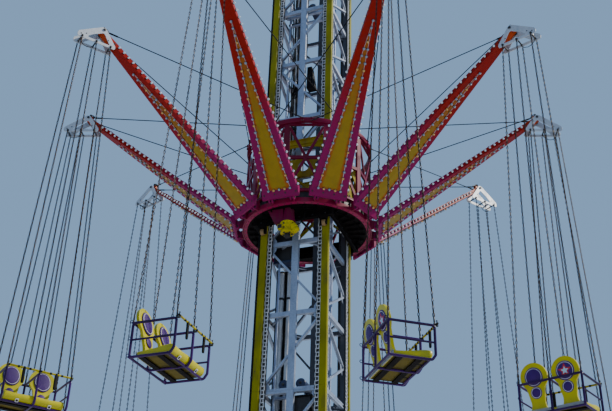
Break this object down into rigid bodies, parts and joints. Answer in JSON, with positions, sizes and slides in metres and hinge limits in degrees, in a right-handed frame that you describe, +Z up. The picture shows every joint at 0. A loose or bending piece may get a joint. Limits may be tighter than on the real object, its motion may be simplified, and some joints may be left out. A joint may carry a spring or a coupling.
{
  "type": "tower swing ride",
  "caption": "Lattice mast with a climbing carriage and a turning carousel of raised arms, double chairs on chains at their tips.",
  "frame": {"origin": "centre of the base plate's underside, on the mast's axis", "axes": "+Z up along the mast, X and Y square to its faces, -Y the face that the picture shows"},
  "size_m": [11.8756, 12.236, 30.3936],
  "materials": {
    "galvanised": "galvanised steel, dull",
    "yellow": "gloss paint, worn",
    "magenta": "gloss paint, fading to dark red",
    "violet": "gloss paint",
    "shell": "gloss moulded shell"
  },
  "bodies": {
    "tower": {"base_frame": "galvanised", "mast_foot": "galvanised", "mast_section_1": "galvanised", "mast_section_2": "galvanised", "mast_section_3": "galvanised", "mast_section_4": "galvanised", "mast_section_5": "galvanised", "mast_head": "galvanised", "guide_rail_1": "yellow", "guide_rail_2": "yellow", "guide_rail_3": "yellow", "guide_rail_4": "yellow"},
    "carriage": {"carriage_frame": "yellow", "turning_drive": "yellow"},
    "carousel": {"drum": "magenta", "crown_cage": "magenta", "arm_1": "magenta", "arm_2": "magenta", "arm_3": "magenta", "arm_4": "magenta", "arm_5": "magenta", "arm_6": "magenta", "arm_7": "magenta", "arm_8": "magenta", "arm_9": "magenta", "arm_10": "magenta"},
    "roller_1": {"guide_roller_1": "galvanised"},
    "roller_2": {"guide_roller_2": "galvanised"},
    "roller_3": {"guide_roller_3": "galvanised"},
    "roller_4": {"guide_roller_4": "galvanised"},
    "chair_1": {"chair_frame_1": "violet", "seats_1": "shell"},
    "lap_bar_1_body": {"lap_bar_1": "yellow"},
    "chair_2": {"chair_frame_2": "violet", "seats_2": "shell"},
    "lap_bar_2_body": {"lap_bar_2": "yellow"},
    "chair_3": {"chair_frame_3": "violet", "seats_3": "shell"},
    "lap_bar_3_body": {"lap_bar_3": "yellow"},
    "chair_4": {"chair_frame_4": "violet", "seats_4": "shell"},
    "lap_bar_4_body": {"lap_bar_4": "yellow"},
    "chair_5": {"chair_frame_5": "violet", "seats_5": "shell"},
    "lap_bar_5_body": {"lap_bar_5": "yellow"},
    "chair_6": {"chair_frame_6": "violet", "seats_6": "shell"},
    "lap_bar_6_body": {"lap_bar_6": "yellow"},
    "chair_7": {"chair_frame_7": "violet", "seats_7": "shell"},
    "lap_bar_7_body": {"lap_bar_7": "yellow"},
    "chair_8": {"chair_frame_8": "violet", "seats_8": "shell"},
    "lap_bar_8_body": {"lap_bar_8": "yellow"},
    "chair_9": {"chair_frame_9": "violet", "seats_9": "shell"},
    "lap_bar_9_body": {"lap_bar_9": "yellow"},
    "chair_10": {"chair_frame_10": "violet", "seats_10": "shell"},
    "lap_bar_10_body": {"lap_bar_10": "yellow"}
  },
  "joints": [
    {"name": "carriage_lift", "type": "slide", "parent": "tower", "child": "carriage", "axis": [0, 0, 1], "range_m": [-6.9, 13.3]},
    {"name": "carousel_turn", "type": "hinge", "parent": "carriage", "child": "carousel", "pos_m": [0, 0, 12.51], "axis": [0, 0, 1], "continuous": true},
    {"name": "roller_1_spin", "type": "hinge", "parent": "carriage", "child": "roller_1", "pos_m": [-0.71, -0.8553, 12.23], "axis": [1, 0, 0], "continuous": true},
    {"name": "roller_2_spin", "type": "hinge", "parent": "carriage", "child": "roller_2", "pos_m": [0.71, -0.8553, 12.23], "axis": [1, 0, 0], "continuous": true},
    {"name": "roller_3_spin", "type": "hinge", "parent": "carriage", "child": "roller_3", "pos_m": [0.71, 0.8553, 12.23], "axis": [1, 0, 0], "continuous": true},
    {"name": "roller_4_spin", "type": "hinge", "parent": "carriage", "child": "roller_4", "pos_m": [-0.71, 0.8553, 12.23], "axis": [1, 0, 0], "continuous": true},
    {"name": "chair_1_swing", "type": "hinge", "parent": "carousel", "child": "chair_1", "pos_m": [0, -5.41, 15.68], "axis": [-1, 0, 0], "range_deg": [-4, 45]},
    {"name": "lap_bar_1_lift", "type": "slide", "parent": "chair_1", "child": "lap_bar_1_body", "axis": [0, 0, 1], "range_m": [0, 0.4]},
    {"name": "chair_2_swing", "type": "hinge", "parent": "carousel", "child": "chair_2", "pos_m": [3.1799, -4.3768, 15.68], "axis": [-0.809, -0.5878, 0], "range_deg": [-4, 45]},
    {"name": "lap_bar_2_lift", "type": "slide", "parent": "chair_2", "child": "lap_bar_2_body", "axis": [0, 0, 1], "range_m": [0, 0.4]},
    {"name": "chair_3_swing", "type": "hinge", "parent": "carousel", "child": "chair_3", "pos_m": [5.1452, -1.6718, 15.68], "axis": [-0.309, -0.9511, 0], "range_deg": [-4, 45]},
    {"name": "lap_bar_3_lift", "type": "slide", "parent": "chair_3", "child": "lap_bar_3_body", "axis": [0, 0, 1], "range_m": [0, 0.4]},
    {"name": "chair_4_swing", "type": "hinge", "parent": "carousel", "child": "chair_4", "pos_m": [5.1452, 1.6718, 15.68], "axis": [0.309, -0.9511, 0], "range_deg": [-4, 45]},
    {"name": "lap_bar_4_lift", "type": "slide", "parent": "chair_4", "child": "lap_bar_4_body", "axis": [0, 0, 1], "range_m": [0, 0.4]},
    {"name": "chair_5_swing", "type": "hinge", "parent": "carousel", "child": "chair_5", "pos_m": [3.1799, 4.3768, 15.68], "axis": [0.809, -0.5878, 0], "range_deg": [-4, 45]},
    {"name": "lap_bar_5_lift", "type": "slide", "parent": "chair_5", "child": "lap_bar_5_body", "axis": [0, 0, 1], "range_m": [0, 0.4]},
    {"name": "chair_6_swing", "type": "hinge", "parent": "carousel", "child": "chair_6", "pos_m": [0, 5.41, 15.68], "axis": [1, 0, 0], "range_deg": [-4, 45]},
    {"name": "lap_bar_6_lift", "type": "slide", "parent": "chair_6", "child": "lap_bar_6_body", "axis": [0, 0, 1], "range_m": [0, 0.4]},
    {"name": "chair_7_swing", "type": "hinge", "parent": "carousel", "child": "chair_7", "pos_m": [-3.1799, 4.3768, 15.68], "axis": [0.809, 0.5878, 0], "range_deg": [-4, 45]},
    {"name": "lap_bar_7_lift", "type": "slide", "parent": "chair_7", "child": "lap_bar_7_body", "axis": [0, 0, 1], "range_m": [0, 0.4]},
    {"name": "chair_8_swing", "type": "hinge", "parent": "carousel", "child": "chair_8", "pos_m": [-5.1452, 1.6718, 15.68], "axis": [0.309, 0.9511, 0], "range_deg": [-4, 45]},
    {"name": "lap_bar_8_lift", "type": "slide", "parent": "chair_8", "child": "lap_bar_8_body", "axis": [0, 0, 1], "range_m": [0, 0.4]},
    {"name": "chair_9_swing", "type": "hinge", "parent": "carousel", "child": "chair_9", "pos_m": [-5.1452, -1.6718, 15.68], "axis": [-0.309, 0.9511, 0], "range_deg": [-4, 45]},
    {"name": "lap_bar_9_lift", "type": "slide", "parent": "chair_9", "child": "lap_bar_9_body", "axis": [0, 0, 1], "range_m": [0, 0.4]},
    {"name": "chair_10_swing", "type": "hinge", "parent": "carousel", "child": "chair_10", "pos_m": [-3.1799, -4.3768, 15.68], "axis": [-0.809, 0.5878, 0], "range_deg": [-4, 45]},
    {"name": "lap_bar_10_lift", "type": "slide", "parent": "chair_10", "child": "lap_bar_10_body", "axis": [0, 0, 1], "range_m": [0, 0.4]}
  ]
}
